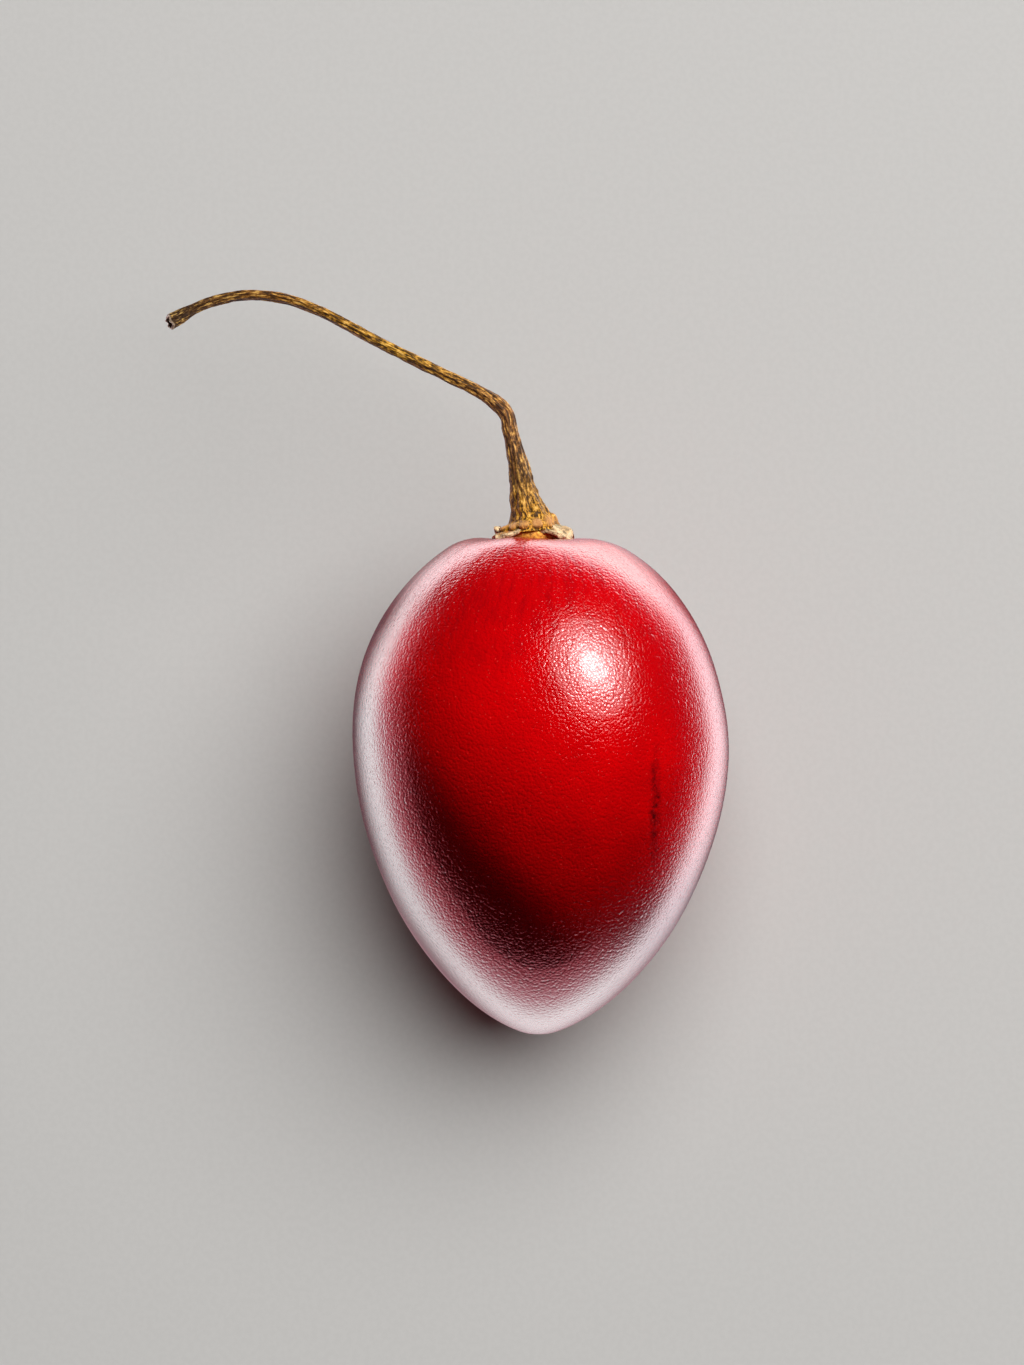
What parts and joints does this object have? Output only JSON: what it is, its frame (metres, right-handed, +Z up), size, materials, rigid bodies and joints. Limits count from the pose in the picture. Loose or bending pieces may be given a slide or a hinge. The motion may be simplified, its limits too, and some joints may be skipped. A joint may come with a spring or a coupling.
{
  "type": "tamarillo",
  "caption": "Ripe red tamarillo as picked: an egg-shaped fruit lying on its side, with its dried calyx and a bent stem.",
  "frame": {"origin": "centre of the small flat spot that the fruit rests on", "axes": "+Z up, away from the surface it rests on; +Y towards the stem end and -Y towards the pointed tip; the stem bends towards -X"},
  "size_m": [0.0753, 0.0991, 0.0501],
  "materials": {
    "skin": "smooth glossy fruit skin with a fine grain",
    "cork": "dry corky tissue",
    "bark": "dry woody stem with fine lengthwise fibres",
    "calyx": "dried leathery lobes"
  },
  "bodies": {
    "root": {"fruit": "skin", "corky_pad": "cork", "stem": "bark", "calyx_lobe_1": "calyx", "calyx_lobe_2": "calyx", "calyx_lobe_3": "calyx", "calyx_lobe_4": "calyx", "calyx_lobe_5": "calyx"}
  },
  "joints": []
}
